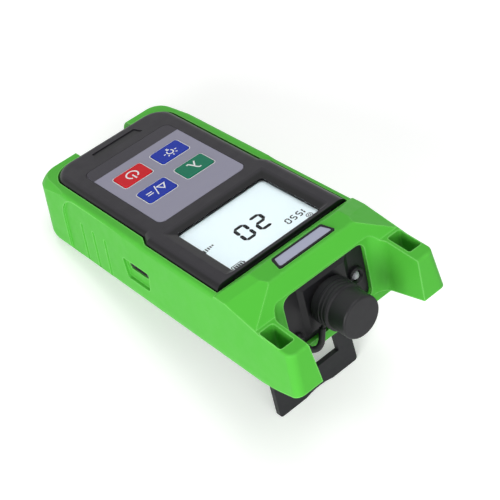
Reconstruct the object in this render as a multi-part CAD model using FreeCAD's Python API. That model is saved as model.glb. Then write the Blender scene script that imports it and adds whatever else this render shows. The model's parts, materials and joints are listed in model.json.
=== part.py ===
import FreeCAD, Part
import math
import os

# Hand-held optical power meter: a hard two-shell case in a soft protective boot, standing on its
# open kickstand.  Millimetres.  Everything is drawn in the meter's own axes first: +X to the
# user's right, +Y towards the optical port, +Z out of the keypad face, z = 0 on that face.
# stand_up() then tips it onto its stand.

V = FreeCAD.Vector
X_AXIS = V(1, 0, 0)
Y_AXIS = V(0, 1, 0)
Z_AXIS = V(0, 0, 1)

# ---- fits ------------------------------------------------------------------------------------
fit_gap = 0.15            # general clearance between seated pieces
past = 1.0                # how far a cutting tool runs past the face it opens
huge = 40.0               # half size of a cutting tool that only has to be larger than the meter

# ---- hard case -------------------------------------------------------------------------------
case_start = 1.0          # y of the case's button end
grip_half = 23.6          # half width of the case beside the keypad
jog_out = 1.5             # how much wider it is beside the display, on each side
jog_lead = 8.4            # where it starts to widen, ahead of the display's opening
jog_length = 3.2
case_flare = 0.1          # how fast the button end runs out, per millimetre of depth
case_thick = 24.4         # from the keypad face to the back
case_back = 2.2           # wall at the back
case_corner = 8.2         # plan radius of the two button-end corners
end_corner = 3.3          # plan radius of the two connector-end corners
case_wall = 1.8
face_thick = 2.1          # front wall
face_round = 3.0          # rounding of the front face's edges
back_round = 4.0          # rounding of the back's edges
split_depth = 12.6        # depth of the parting line between the two covers
shelf_margin = 2.0        # from the display's opening to the step down under the boot's bridge
shelf_length = 14.0       # from that step to the case's connector end
shelf_drop = 3.2          # depth of the step
step_wall = 0.9           # case wall behind the step

# ---- keypad ----------------------------------------------------------------------------------
pad_margin = 12.2         # from the case's button end to the keypad
pad_side = 6.4            # from the keypad to the side of the case
pad_length = 42.5
pad_corner = 2.4
pad_thick = 0.5
key_width = 10.9
key_depth = 7.7
key_column_gap = 4.2
key_row_gap = 5.6
key_margin = 10.75        # from the keypad's edge to the first row
key_corner = 0.9
key_rise = 0.35           # how far a key stands above the keypad
key_edge_round = 0.2
key_gap = 0.2
key_travel = 0.4
key_flange = 0.8
key_flange_thick = 0.8
key_rest_gap = 0.02
key_stem_radius = 1.6
dome_radius = 2.6
dome_height = 0.5
dome_sheet = 0.15
dome_gap = 0.15           # left under a fully pressed key

# ---- display ---------------------------------------------------------------------------------
view_gap = 7.3            # from the keypad to the display's opening
view_side = 8.2           # from the opening to the side of the case
view_length = 27.4
view_corner = 1.4
view_land = 0.4           # straight part of the opening behind the bevel
bevel_run = 3.0           # plan width of the sloping surround
bevel_corner = 2.4
bevel_far_run = 0.8       # and beside the bridge
window_ledge = 1.3        # overlap of the window behind its opening
window_sink = 1.3         # how far the window lies below the face
window_thick = 1.0
gasket_thick = 0.25
gasket_clear = 0.3        # how far the gasket stays outside the view
window_frame = 1.0        # wall of the locating frame round the window
lcd_thick = 4.0
lcd_held = 2.0            # how far the frame round the window runs down beside the display
lcd_inset = 0.4           # how much smaller the module is than the window, all round

# ---- name recess at the button end ------------------------------------------------------------
recess_half = 8.6
recess_margin = 4.6       # from the case's button end
recess_length = 3.6
recess_splay = 1.3
recess_sink = 0.35

# ---- boot ------------------------------------------------------------------------------------
boot_wall = 1.7           # rubber outside the case's widest part, at z = 0
boot_flare = 0.108        # growth of the half width per millimetre of depth
boot_end_wall = 6.9       # rubber past the case's button end, at z = 0
boot_end_flare = 0.02     # how fast the button end runs out, per millimetre of depth
boot_back = 2.35          # rubber behind the case
boot_corner = 9.5         # plan radius of the button-end corners
boot_round = 5.2          # rounding of the back's long edges
boot_foot = 0.06          # how much of that rounding is flattened where the boot rests
rim_drop = 1.4            # how far the rim beside the keypad lies below the face
rim_display_drop = 1.8    # and beside the display
rim_round = 1.4
nose_round = 9.1          # rounding of the button end's upper edge
nose_rise = 0.2           # height above the face at which that rounding starts
nose_spread = 0.12        # how fast it fades out along the sides, per millimetre
nose_gap = 0.05           # how far its straight sides stay outside the boot
lip_half = 10.6           # half width of the gap in the button end's rim
lip_drop = 12.0
port_wall_gap = 0.3       # between the case's connector end and the boot's wall there
port_wall = 2.5
port_side = 9.5           # from the panel's opening to the side of the case
port_drop = 2.8           # depth of the opening's upper edge
port_height = 21.0
port_corner = 3.2

# ---- bridge over the display's far edge --------------------------------------------------------
bridge_lead = 0.6         # from the case's step to the bridge
bridge_rise = 2.4         # height of its top above the keypad face
bridge_slope = 5.3        # run of the slope that faces the display
bridge_side = 9.8         # run of the slopes at the sides
bridge_round = 1.6
bridge_fall = 3.4         # run of the slope from the bridge's top to the end wall
bridge_brow = 2.2         # depth of that slope at the end wall
shoulder_lead = 4.7       # from the start of the flat top to where its sides begin to fall away
badge_lead = 0.9          # from the start of the flat top to the badge
badge_length = 5.2
badge_near_half = 9.5
badge_splay = 1.1
badge_border = 0.7
badge_thick = 0.9
badge_sink = 0.5
badge_corner = 0.6
plate_thick = 0.3

# ---- horns beside the port ---------------------------------------------------------------------
horn_length = 15.5        # at z = 0
horn_rake = 0.1           # growth of that per millimetre of depth
horn_drop = 4.6           # depth of the horns' top at their root
horn_edge = 0.8           # rounding of their upper edges
horn_cove = 4.4           # hollow rounding between the horns and the end wall
horn_fall = 0.09          # how fast the top drops towards the tip
horn_gap_taper = 0.065    # narrowing of the space between the horns per millimetre of depth
horn_depth = 23.6         # depth of the underside at the root
horn_rise = 0.235         # how fast the underside climbs towards the tip
horn_round = 2.6
strap_width = 5.0
strap_outset = 0.15       # how far the slot reaches past the boot's half width at z = 0
strap_web = 0.85          # rubber between the slot and the port's space, at z = 0
strap_lead = 2.9          # from the end wall to the slot
strap_length = 8.9
strap_corner = 0.8

# ---- grip relief on the sides ------------------------------------------------------------------
relief_lead = 17.5        # from the boot's button end
relief_length = 35.4
relief_drop = 2.2
relief_sink = 0.7
relief_corner = 8.5
relief_fade = 0.02        # depth that is left of the relief at its far end
groove_lead = 10.2        # from the start of the relief to the first groove
groove_pitch = 6.85
groove_count = 3
groove_radius = 0.75
groove_drop = 10.0
groove_length = 13.0

# ---- charging port -----------------------------------------------------------------------------
usb_lead = 2.3            # from the port's centre to where the case widens
usb_shell_width = 7.6
usb_shell_height = 2.8
usb_shell_depth = 5.4
usb_shell_wall = 0.3
usb_tongue = 0.6
usb_tongue_back = 0.8     # how far the tongue stays inside the mouth
usb_slot_side = 1.15      # room beside the shell in the boot's slot
usb_slot_above = 0.3      # and above it
usb_scoop_side = 2.35     # from the slot to the edge of the scoop
usb_scoop_above = 0.2
usb_scoop_height = 7.0
usb_scoop_sink = 1.1
usb_scoop_lean = 1.4
usb_scoop_corner = 1.2
usb_mouth = 0.4           # how far the socket's mouth lies inside the case's side

# ---- optical port ------------------------------------------------------------------------------
panel_proud = 1.5         # from the case's end to the connector panel's face
boss_half = 9.6
boss_taper = 1.7
boss_height = 0.8
thread_radius = 4.0
barrel_length = 6.6       # of the threaded barrel behind the case wall
neck_radius = 4.6
neck_length = 9.5
neck_rings = 6
neck_chamfer = 0.4
thread_depth = 0.3
pocket_wall = 1.2         # barrel wall round the detector's seat
pocket_depth = 5.0
aperture_radius = 0.9
ferrule_radius = 1.25
ferrule_play = 0.01
flange_rim = 1.0          # of the flange outside the neck
flange_thick = 0.8
nut_flats = 11.0
nut_thick = 2.4
detector_play = 0.1
detector_lip = 0.35
detector_lip_thick = 0.6
detector_length = 3.4
detector_leg = 3.0
detector_leg_radius = 0.22
detector_leg_circle = 1.27

# ---- dust cap ----------------------------------------------------------------------------------
cap_seat = 0.2            # gap between the adapter's flange and the cap
cap_room = 1.5            # between the neck's end and the inside of the cap
cap_wall = 2.03
cap_wall_gap = 0.12
cap_end_wall = 2.2
cap_round = 0.7
collar_rim = 0.6          # of the collar outside the finger grip
collar_length = 6.2
rib_count = 3
rib_depth = 0.35
rib_width = 0.55
cap_waist = 0.3           # step between the collar and the finger grip

# ---- tether ------------------------------------------------------------------------------------
tether_groove_lead = 0.6
tether_thick = 1.5
tether_play = 0.05
tether_sink = 1.15        # depth of the groove in the collar
tether_ring = 1.3         # radial width of the ring
tether_radius = 1.0       # of the strap between the ring and its plug
tether_lug_radius = 0.68
tether_lug_length = 2.6
tether_pin_side = 3.0     # from the plug's axis to the side of the panel
tether_pin_drop = 6.9     # below the port's axis
tether_pin_radius = 1.2
tether_flange_rim = 0.7
tether_flange_thick = 0.8
tether_sag = 3.7          # how far the loop hangs below the ring

# ---- torch -------------------------------------------------------------------------------------
torch_side = 4.3          # from its axis to the side of the panel, on the user's left
torch_radius = 1.5
torch_bezel_wall = 1.25
torch_bezel_rise = 1.3
torch_bezel_round = 0.4
torch_dish = 0.6          # depth of the bezel's flared mouth
torch_length = 5.3

# ---- inside ------------------------------------------------------------------------------------
board_depth = 9.8         # of the board's face, below the keypad face
board_thick = 1.6
board_gap = 0.6           # from the board to the case's side walls
board_margin = 2.6        # from the case's button end to the board
board_far_margin = 12.0   # from the board to the case's connector end
board_corner = 5.8
post_radius = 3.1
screw_side = 6.0          # from the screws to the side of the case
screw_margin = 9.2       # from the case's button end to the near screws
screw_far_margin = 8.8    # from the case's connector end to the far screws
screw_radius = 1.25
screw_head_radius = 2.3
screw_head_height = 1.6
screw_length = 14.0
screw_seat_lift = 5.4     # from the case's back to what the screw heads pull against
cross_half = 1.3          # half length of the slots in the screw heads
cross_width = 0.6
cross_depth = 0.9
cell_side = 6.6           # from the battery to the side of the case
cell_length = 50.0
cell_thick = 8.0
cell_margin = 14.0        # from the case's button end to the battery
cell_gap = 0.6            # from the battery to the board

# ---- kickstand ---------------------------------------------------------------------------------
stand_pin_margin = 15.0   # from the case's connector end to the pin
stand_pin_lift = 1.8      # from the boot's back to the pin's axis
stand_pin_radius = 0.75
stand_pin_play = 0.05
stand_length = 35.6       # pin to foot
stand_foot_half = 16.5
stand_taper = 1.0         # how much narrower each side is at the pin
stand_leg = 6.2
stand_bar = 8.4
stand_thick = 1.9
stand_lean = 1.6          # degrees past square when open
stand_corner = 1.2
stand_notch_half = 5.6
stand_notch = 0.9
knuckle_wall = 0.6
heel_length = 1.45
pin_end = 2.7             # of the pin held in the case beside each knuckle
bay_gap = 0.4
pad_sink = 0.3            # how far the case's back pad lies inside the boot's back
scoop_radius = 7.0
window_side = 0.8         # from the pin's ends to the side of the boot's back window
window_near = 6.8         # from the folded foot to the window's edge
window_far = 5.6          # from the pin to the window's edge
window_corner = 4.0

# ---- places that follow ------------------------------------------------------------------------
pad_start = case_start + pad_margin
pad_end = pad_start + pad_length
pad_half = grip_half - pad_side
view_start = pad_end + view_gap
view_end = view_start + view_length
jog_start = view_start - jog_lead
shelf_start = view_end + shelf_margin
case_end = shelf_start + shelf_length
display_half = grip_half + jog_out
view_half = display_half - view_side
gasket_top = -window_sink - window_thick
lcd_top = gasket_top - gasket_thick
case_bottom = -case_thick
case_floor = case_bottom + case_back
split_z = -split_depth
shelf_z = -shelf_drop
key_spread = (key_width + key_column_gap) / 2
key_first_row = pad_start + key_margin + key_depth / 2
key_row_pitch = key_depth + key_row_gap
recess_start = case_start + recess_margin

boot_half = display_half + boot_wall
boot_start = case_start - boot_end_wall
boot_bottom = case_bottom - boot_back
rim_grip = -rim_drop
rim_display = -rim_display_drop
wall_start = case_end + port_wall_gap
wall_end = wall_start + port_wall
port_half = display_half - port_side
port_top = -port_drop
port_bottom = port_top - port_height
port_z = port_top - port_height / 2
bridge_start = shelf_start + bridge_lead
bridge_top = bridge_rise
bridge_flat = bridge_start + bridge_slope
bridge_half = boot_half - bridge_side
badge_start = bridge_flat + badge_lead
badge_end = badge_start + badge_length
badge_far_half = badge_near_half + badge_splay
horn_tip = wall_end + horn_length
horn_top = -horn_drop
horn_base = -horn_depth
strap_inner = boot_half + strap_outset - strap_width
strap_start = wall_end + strap_lead
horn_gap_top = strap_inner - strap_web
relief_start = boot_start + relief_lead
relief_end = relief_start + relief_length
relief_top = -relief_drop
groove_first = relief_start + groove_lead
groove_top = -groove_drop
groove_bottom = groove_top - groove_length

board_top = -board_depth
board_low = board_top - board_thick
board_half = grip_half - case_wall - board_gap
board_start = case_start + board_margin
board_end = case_end - board_far_margin
screw_x = grip_half - screw_side
screw_near_y = case_start + screw_margin
screw_far_y = case_end - screw_far_margin
screw_seat = case_bottom + screw_seat_lift
cell_start = case_start + cell_margin

usb_y = jog_start - usb_lead
usb_z = board_low - usb_shell_height / 2
usb_face = grip_half - usb_mouth
usb_width = usb_shell_width + 2 * usb_slot_side
usb_slot_height = usb_shell_height + 2 * usb_slot_above

panel_face = case_end + panel_proud
flange_y = panel_face + boss_height
neck_start = flange_y + flange_thick
neck_end = neck_start + neck_length
flange_radius = neck_radius + flange_rim
pocket_radius = thread_radius - pocket_wall
barrel_back = case_end - case_wall - barrel_length
sleeve_bore = ferrule_radius + ferrule_play
detector_base_radius = pocket_radius - detector_play

cap_start = neck_start + cap_seat
cap_end = neck_end + cap_room + cap_end_wall
cap_inside = neck_radius + cap_wall_gap
cap_radius = cap_inside + cap_wall
collar_radius = cap_radius + collar_rim
tether_groove_y = cap_start + tether_groove_lead
tether_inner_radius = collar_radius - tether_sink
tether_outer_radius = tether_inner_radius + tether_ring
tether_pin_x = port_half - tether_pin_side
tether_pin_z = port_z - tether_pin_drop
torch_x = torch_side - port_half
torch_bezel_radius = torch_radius + fit_gap + torch_bezel_wall

stand_pin_y = case_end - stand_pin_margin
stand_pin_z = boot_bottom + stand_pin_lift
stand_root_half = stand_foot_half - stand_taper
knuckle_radius = stand_pin_radius + knuckle_wall
pin_half = stand_root_half + pin_end
window_half = pin_half + window_side
window_start = stand_pin_y - stand_length - window_near
window_end = stand_pin_y + window_far


# ---- small builders ----------------------------------------------------------------------------
def box(x0, x1, y0, y1, z0, z1):
    return Part.makeBox(x1 - x0, y1 - y0, z1 - z0, V(x0, y0, z0))


def polygon(points):
    return Part.Face(Part.makePolygon(points + [points[0]]))


def side_prism(yz_points, x0, x1):
    """A y-z outline swept along X from x0 to x1."""
    face = polygon([V(x0, y, z) for y, z in yz_points])
    return face.extrude(V(x1 - x0, 0, 0))


def cross_prism(xz_points, y0, y1):
    """An x-z outline swept along Y from y0 to y1."""
    face = polygon([V(x, y0, z) for x, z in xz_points])
    return face.extrude(V(0, y1 - y0, 0))


def round_edges(shape, radius, wanted):
    """Fillet every edge that wanted(edge) picks."""
    edges = [edge for edge in shape.Edges if wanted(edge)]
    return shape.makeFillet(radius, edges)


def along(edge, axis):
    """True for a straight edge parallel to axis."""
    if edge.Curve.TypeId != "Part::GeomLine":
        return False
    return abs(abs(edge.Curve.Direction.dot(axis)) - 1) < 1e-6


def rounded_plate(x_half, y0, y1, z0, z1, radius):
    plate = box(-x_half, x_half, y0, y1, z0, z1)
    return round_edges(plate, radius, lambda edge: along(edge, Z_AXIS))


def rod(start, direction, radius, length):
    return Part.makeCylinder(radius, length, start, direction)


def turned(yr_points, x, z):
    """A solid of revolution about the line through (x, z) along Y; points are (y, radius)."""
    face = polygon([V(x + r, y, z) for y, r in yr_points])
    return face.revolve(V(x, 0, z), Y_AXIS, 360)


def mirrored(shape):
    return shape.mirror(V(0, 0, 0), X_AXIS)


def both_sides(shape):
    return [shape, mirrored(shape)]


def tapered_block(low, high):
    """A straight-sided solid between two polygons with the same number of corners."""
    wires = [Part.makePolygon(points + [points[0]]) for points in (low, high)]
    return Part.makeLoft(wires, True, True)


def upright(edge, height):
    """True for an edge that climbs nearly the whole height of a block."""
    return edge.BoundBox.ZLength > 0.9 * height


# ---- hard case ---------------------------------------------------------------------------------
def case_outline(z, inset):
    near = grip_half - inset
    wide = display_half - inset
    start = case_start + case_flare * z + inset
    end = case_end - inset
    jog_end = jog_start + jog_length
    right = [V(near, start, z), V(near, jog_start, z), V(wide, jog_end, z), V(wide, end, z)]
    return right + [V(-point.x, point.y, point.z) for point in reversed(right)]


def case_block(z0, z1, inset):
    """The case's plan outline, drawn in by inset, between two heights."""
    height = z1 - z0
    block = tapered_block(case_outline(z0, inset), case_outline(z1, inset))
    block = round_edges(block, case_corner - inset,
                        lambda edge: upright(edge, height) and edge.CenterOfMass.y < key_first_row)
    return round_edges(block, end_corner - inset,
                       lambda edge: upright(edge, height) and edge.CenterOfMass.y > view_end)


def case_solid(z1, grow):
    """The outside of the case with its rounded back, grown all round, up to the height z1."""
    z0 = case_bottom - grow
    block = case_block(z0, z1, -grow)
    return round_edges(block, back_round, lambda edge: edge.BoundBox.ZMax < z0 + 0.01)


def front_solid():
    """The front cover before it is hollowed, with the shelf that the boot's bridge covers."""
    block = case_block(split_z, 0, 0)
    block = round_edges(block, face_round, lambda edge: edge.BoundBox.ZMin > -0.01)
    return block.cut(box(-huge, huge, shelf_start, case_end + past, shelf_z, past))


def case_cavity():
    low = case_block(case_floor, shelf_z - face_thick, case_wall)
    high = case_block(case_floor, -face_thick, case_wall)
    return low.fuse(high.common(box(-huge, huge, -huge, shelf_start - step_wall, case_floor, 0)))


def screw_places():
    return [V(side * screw_x, y, 0) for y in (screw_near_y, screw_far_y) for side in (1, -1)]


def key_places():
    far_row = key_first_row + key_row_pitch
    return {"key_power": V(key_spread, key_first_row, 0), "key_lamp": V(-key_spread, key_first_row, 0),
            "key_reference": V(key_spread, far_row, 0), "key_wavelength": V(-key_spread, far_row, 0)}


def key_block(place, z0, z1, grow):
    block = box(place.x - key_width / 2 - grow, place.x + key_width / 2 + grow,
                place.y - key_depth / 2 - grow, place.y + key_depth / 2 + grow, z0, z1)
    return round_edges(block, key_corner, lambda edge: along(edge, Z_AXIS))


def view_rectangle(z, side, near, far):
    return [V(-side, near, z), V(side, near, z), V(side, far, z), V(-side, far, z)]


def view_opening():
    """The display's opening: a straight land behind, and a bevel that widens to the front."""
    land = rounded_plate(view_half, view_start, view_end, -face_thick - past, 0, view_corner)
    scale = (window_sink - view_land + past) / (window_sink - view_land)
    low = view_rectangle(view_land - window_sink, view_half, view_start, view_end)
    high = view_rectangle(past, view_half + bevel_run * scale, view_start - bevel_run * scale,
                          view_end + bevel_far_run * scale)
    bevel = tapered_block(low, high)
    return land.fuse(round_edges(bevel, bevel_corner,
                                 lambda edge: upright(edge, past + window_sink - view_land)))


def window_plate(grow, z0, z1):
    reach = window_ledge + grow
    return rounded_plate(view_half + reach, view_start - reach, view_end + reach, z0, z1, view_corner)


def name_recess():
    near = recess_half
    far = recess_half + recess_splay
    outline = [V(-near, recess_start, -recess_sink), V(near, recess_start, -recess_sink),
               V(far, recess_start + recess_length, -recess_sink),
               V(-far, recess_start + recess_length, -recess_sink)]
    return polygon(outline).extrude(V(0, 0, recess_sink + past))


def usb_opening(x0, x1):
    block = box(x0, x1, usb_y - usb_width / 2, usb_y + usb_width / 2,
                usb_z - usb_slot_height / 2, usb_z + usb_slot_height / 2)
    return round_edges(block, usb_slot_height / 3, lambda edge: along(edge, X_AXIS))


def port_hole(radius, y0, y1):
    return rod(V(0, y0, port_z), Y_AXIS, radius, y1 - y0)


def torch_hole(radius, y0, y1):
    return rod(V(torch_x, y0, port_z), Y_AXIS, radius, y1 - y0)


def end_wall_holes():
    y0 = case_end - case_wall - past
    return [port_hole(thread_radius + fit_gap, y0, case_end + past),
            torch_hole(torch_radius + fit_gap, y0, case_end + past)]


def front_cover():
    cover = front_solid().cut(case_cavity())
    posts = []
    for place in screw_places():
        top = shelf_z if place.y > shelf_start else 0
        posts.append(rod(V(place.x, place.y, split_z), Z_AXIS, post_radius,
                         top - face_thick / 2 - split_z))
    frame_end = lcd_top - lcd_held
    frame = window_plate(fit_gap + window_frame, frame_end, -face_thick / 2)
    cover = cover.fuse(posts + [frame])
    cuts = [rounded_plate(pad_half + fit_gap, pad_start - fit_gap, pad_end + fit_gap,
                          -pad_thick, past, pad_corner),
            view_opening(), name_recess(),
            window_plate(fit_gap, frame_end - past, -window_sink),
            usb_opening(case_wall, huge)]
    cuts += [key_block(place, -face_thick - past, past, key_gap) for place in key_places().values()]
    cuts += [rod(V(place.x, place.y, screw_seat), Z_AXIS, screw_radius, screw_length + fit_gap)
             for place in screw_places()]
    return cover.cut(cuts + end_wall_holes())


def bay_roof():
    return stand_pin_z + knuckle_radius + fit_gap


def stand_outline(z, grow, y_root):
    """The stand's tapered outline when folded, from its foot to y_root."""
    foot = stand_pin_y - stand_length - grow
    return [V(-stand_foot_half - grow, foot, z), V(stand_foot_half + grow, foot, z),
            V(stand_root_half + grow, y_root, z), V(-stand_root_half - grow, y_root, z)]


def stand_window(z, shrink, y_root):
    """The opening between the stand's legs, closed by the foot bar."""
    bar = stand_pin_y - stand_length + stand_bar + shrink
    wide = stand_foot_half - stand_leg - shrink
    root = stand_root_half - stand_leg - shrink
    return [V(-wide, bar, z), V(wide, bar, z), V(root, y_root, z), V(-root, y_root, z)]


def stand_bay():
    """The recess in the back that the folded stand lies in, with an island between its legs."""
    wall = stand_pin_y + knuckle_radius + fit_gap
    height = V(0, 0, bay_roof() - boot_bottom)
    bay = polygon(stand_outline(boot_bottom, bay_gap, wall)).extrude(height)
    island = polygon(stand_window(boot_bottom, bay_gap, wall)).extrude(height)
    scoop = Part.makeSphere(scoop_radius, V(0, stand_pin_y - stand_length - bay_gap,
                                            boot_bottom - scoop_radius + stand_thick))
    return bay.cut(island).fuse(scoop)


def rear_cover():
    cover = case_solid(split_z, 0).cut(case_cavity())
    pad = rounded_plate(window_half - fit_gap, window_start + fit_gap, window_end - fit_gap,
                        boot_bottom + pad_sink, case_floor, window_corner)
    tubes = [rod(V(place.x, place.y, case_floor), Z_AXIS, post_radius, split_z - case_floor)
             for place in screw_places()]
    cover = cover.fuse([pad] + tubes)
    cuts = [stand_bay(), usb_opening(case_wall, huge),
            rod(V(-pin_half, stand_pin_y, stand_pin_z), X_AXIS, stand_pin_radius, 2 * pin_half)]
    for place in screw_places():
        cuts.append(rod(V(place.x, place.y, case_bottom), Z_AXIS, screw_head_radius + fit_gap,
                        screw_seat - case_bottom))
        cuts.append(rod(V(place.x, place.y, screw_seat), Z_AXIS, screw_radius + fit_gap,
                        split_z - screw_seat))
    return cover.cut(cuts + end_wall_holes())


def case_screws():
    screws = []
    for place in screw_places():
        head = rod(V(place.x, place.y, screw_seat - screw_head_height), Z_AXIS,
                   screw_head_radius, screw_head_height)
        shank = rod(V(place.x, place.y, screw_seat), Z_AXIS, screw_radius, screw_length)
        face = screw_seat - screw_head_height
        slots = [box(place.x - half_x, place.x + half_x, place.y - half_y, place.y + half_y,
                     face, face + cross_depth)
                 for half_x, half_y in ((cross_half, cross_width / 2), (cross_width / 2, cross_half))]
        screws.append(head.fuse(shank).cut(slots))
    return Part.makeCompound(screws)


# ---- keypad and display ------------------------------------------------------------------------
def keypad_overlay():
    sheet = rounded_plate(pad_half, pad_start, pad_end, -pad_thick, 0, pad_corner)
    return sheet.cut([key_block(place, -pad_thick, 0, key_gap) for place in key_places().values()])


def key(place):
    """A key cap with its retaining flange behind the face and a stem down to its dome."""
    cap = key_block(place, -face_thick - fit_gap, key_rise, 0)
    cap = round_edges(cap, key_edge_round, lambda edge: edge.BoundBox.ZMin > key_rise - 0.01)
    flange_top = -face_thick - key_rest_gap
    reach_x = key_width / 2 + key_flange
    reach_y = key_depth / 2 + key_flange
    flange = box(place.x - reach_x, place.x + reach_x, place.y - reach_y, place.y + reach_y,
                 flange_top - key_flange_thick, flange_top)
    stem_end = board_top + dome_height + dome_gap + key_travel
    stem = rod(V(place.x, place.y, stem_end), Z_AXIS, key_stem_radius, flange_top - stem_end)
    return cap.fuse([flange, stem])


def key_domes():
    """Four sprung sheet-metal domes on the board, one under each key."""
    crown = dome_radius / 2
    low = board_top + dome_height - dome_sheet
    profile = [V(0, 0, low), V(crown, 0, low), V(dome_radius - dome_sheet, 0, board_top),
               V(dome_radius, 0, board_top), V(crown, 0, low + dome_sheet), V(0, 0, low + dome_sheet)]
    dome = polygon(profile).revolve(V(0, 0, 0), Z_AXIS, 360)
    return Part.makeCompound([dome.translated(place) for place in key_places().values()])


def display_window():
    return window_plate(0, gasket_top, -window_sink)


def display_gasket():
    ring = window_plate(0, lcd_top, gasket_top)
    return ring.cut(rounded_plate(view_half + gasket_clear, view_start - gasket_clear,
                                  view_end + gasket_clear, lcd_top, gasket_top, view_corner))


def lcd_module():
    return window_plate(-lcd_inset, lcd_top - lcd_thick, lcd_top)


# ---- charging port -----------------------------------------------------------------------------
def usb_socket():
    x0 = usb_face - usb_shell_depth
    half = usb_shell_width / 2
    z0 = usb_z - usb_shell_height / 2
    shell = box(x0, usb_face, usb_y - half, usb_y + half, z0, z0 + usb_shell_height)
    shell = round_edges(shell, usb_shell_height / 4, lambda edge: along(edge, X_AXIS))
    wall = usb_shell_wall
    mouth = box(x0 + wall, usb_face, usb_y - half + wall, usb_y + half - wall,
                z0 + wall, z0 + usb_shell_height - wall)
    tongue = box(x0, usb_face - usb_tongue_back, usb_y - half / 2, usb_y + half / 2,
                 usb_z, usb_z + usb_tongue)
    return shell.cut(mouth).fuse(tongue)


# ---- inside ------------------------------------------------------------------------------------
def main_board():
    board = rounded_plate(board_half, board_start, board_end, board_low, board_top, board_corner)
    holes = [rod(V(place.x, place.y, board_low), Z_AXIS, post_radius + fit_gap, board_thick)
             for place in screw_places()]
    return board.cut(holes)


def battery_cell():
    top = board_low - cell_gap
    half = grip_half - cell_side
    cell = box(-half, half, cell_start, cell_start + cell_length, top - cell_thick, top)
    return round_edges(cell, cell_thick / 4, lambda edge: along(edge, Y_AXIS))


# ---- optical port ------------------------------------------------------------------------------
def port_prism(y0, y1, shrink):
    block = box(-port_half + shrink, port_half - shrink, y0, y1,
                port_bottom + shrink, port_top - shrink)
    return round_edges(block, port_corner - shrink, lambda edge: along(edge, Y_AXIS))


def square(y, half):
    return [V(-half, y, port_z - half), V(half, y, port_z - half),
            V(half, y, port_z + half), V(-half, y, port_z + half)]


def connector_panel():
    panel = port_prism(case_end, panel_face, fit_gap)
    boss = tapered_block(square(panel_face, boss_half), square(flange_y, boss_half - boss_taper))
    cuts = [port_hole(thread_radius + fit_gap, case_end, flange_y),
            torch_hole(torch_bezel_radius, case_end, flange_y),
            rod(V(tether_pin_x, case_end, tether_pin_z), Y_AXIS, tether_pin_radius,
                panel_face - case_end)]
    return panel.fuse(boss).cut(cuts)


def port_adapter():
    """Threaded barrel with a flange and a ringed neck, bored through for a 2.5 mm ferrule."""
    root = neck_radius - thread_depth
    profile = [(barrel_back, pocket_radius), (barrel_back, thread_radius), (flange_y, thread_radius),
               (flange_y, flange_radius), (neck_start, flange_radius), (neck_start, root)]
    turn = (neck_length - neck_chamfer) / neck_rings
    for index in range(neck_rings):
        ring = neck_start + index * turn
        profile += [(ring + turn * 0.4, root), (ring + turn * 0.7, neck_radius),
                    (ring + turn * 0.9, neck_radius)]
    profile += [(neck_end, root), (neck_end, sleeve_bore),
                (barrel_back + pocket_depth, sleeve_bore), (barrel_back + pocket_depth, pocket_radius)]
    return turned(profile, 0, port_z)


def port_nut():
    front = case_end - case_wall
    corner = nut_flats / math.sqrt(3)
    points = [V(corner * math.cos(math.radians(60 * index)), front - nut_thick,
                port_z + corner * math.sin(math.radians(60 * index))) for index in range(6)]
    nut = polygon(points).extrude(V(0, nut_thick, 0))
    return nut.cut(port_hole(thread_radius, front - nut_thick, front))


def detector():
    """Photodiode can, seated at the bottom of the adapter's pocket, with three legs."""
    front = barrel_back + pocket_depth
    back = front - detector_length
    slim = detector_base_radius - detector_lip
    step = back + detector_lip_thick
    body = turned([(back, 0), (back, detector_base_radius), (step, detector_base_radius),
                   (step, slim), (front, slim), (front, 0)], 0, port_z)
    legs = []
    for angle in (90, 210, 330):
        x = detector_leg_circle * math.cos(math.radians(angle))
        z = port_z + detector_leg_circle * math.sin(math.radians(angle))
        legs.append(rod(V(x, back - detector_leg, z), Y_AXIS, detector_leg_radius, detector_leg))
    return body.fuse(legs)


# ---- dust cap and tether -----------------------------------------------------------------------
def dust_cap():
    """Moulded rubber cap: a ribbed collar, a plain finger grip and a blind inside."""
    groove_end = tether_groove_y + tether_thick
    groove_radius = tether_inner_radius - tether_play
    collar_end = cap_start + collar_length
    profile = [(cap_start, cap_inside), (cap_start, collar_radius), (tether_groove_y, collar_radius),
               (tether_groove_y, groove_radius), (groove_end, groove_radius), (groove_end, collar_radius)]
    pitch = (collar_end - groove_end) / rib_count
    for index in range(rib_count):
        rib = groove_end + (index + 1) * pitch
        profile += [(rib - rib_width, collar_radius), (rib - rib_width / 2, collar_radius - rib_depth),
                    (rib, collar_radius)]
    profile += [(collar_end + cap_waist, cap_radius), (cap_end, cap_radius), (cap_end, 0),
                (cap_end - cap_end_wall, 0), (cap_end - cap_end_wall, cap_inside)]
    cap = turned(profile, 0, port_z)
    return round_edges(cap, cap_round, lambda edge: edge.BoundBox.YMin > cap_end - 0.01)


# ---- torch -------------------------------------------------------------------------------------
def torch_led():
    front = panel_face + torch_bezel_rise
    straight = front - torch_radius
    back = straight - torch_length
    body = rod(V(torch_x, back, port_z), Y_AXIS, torch_radius, torch_length)
    dome = Part.makeSphere(torch_radius, V(torch_x, straight, port_z))
    return body.fuse(dome)


def torch_bezel():
    inner = torch_radius + fit_gap
    front = panel_face + torch_bezel_rise
    return turned([(case_end, inner), (case_end, torch_bezel_radius),
                   (front - torch_bezel_round, torch_bezel_radius),
                   (front, torch_bezel_radius - torch_bezel_round),
                   (front, inner + torch_dish), (front - torch_dish, inner)], torch_x, port_z)


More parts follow.
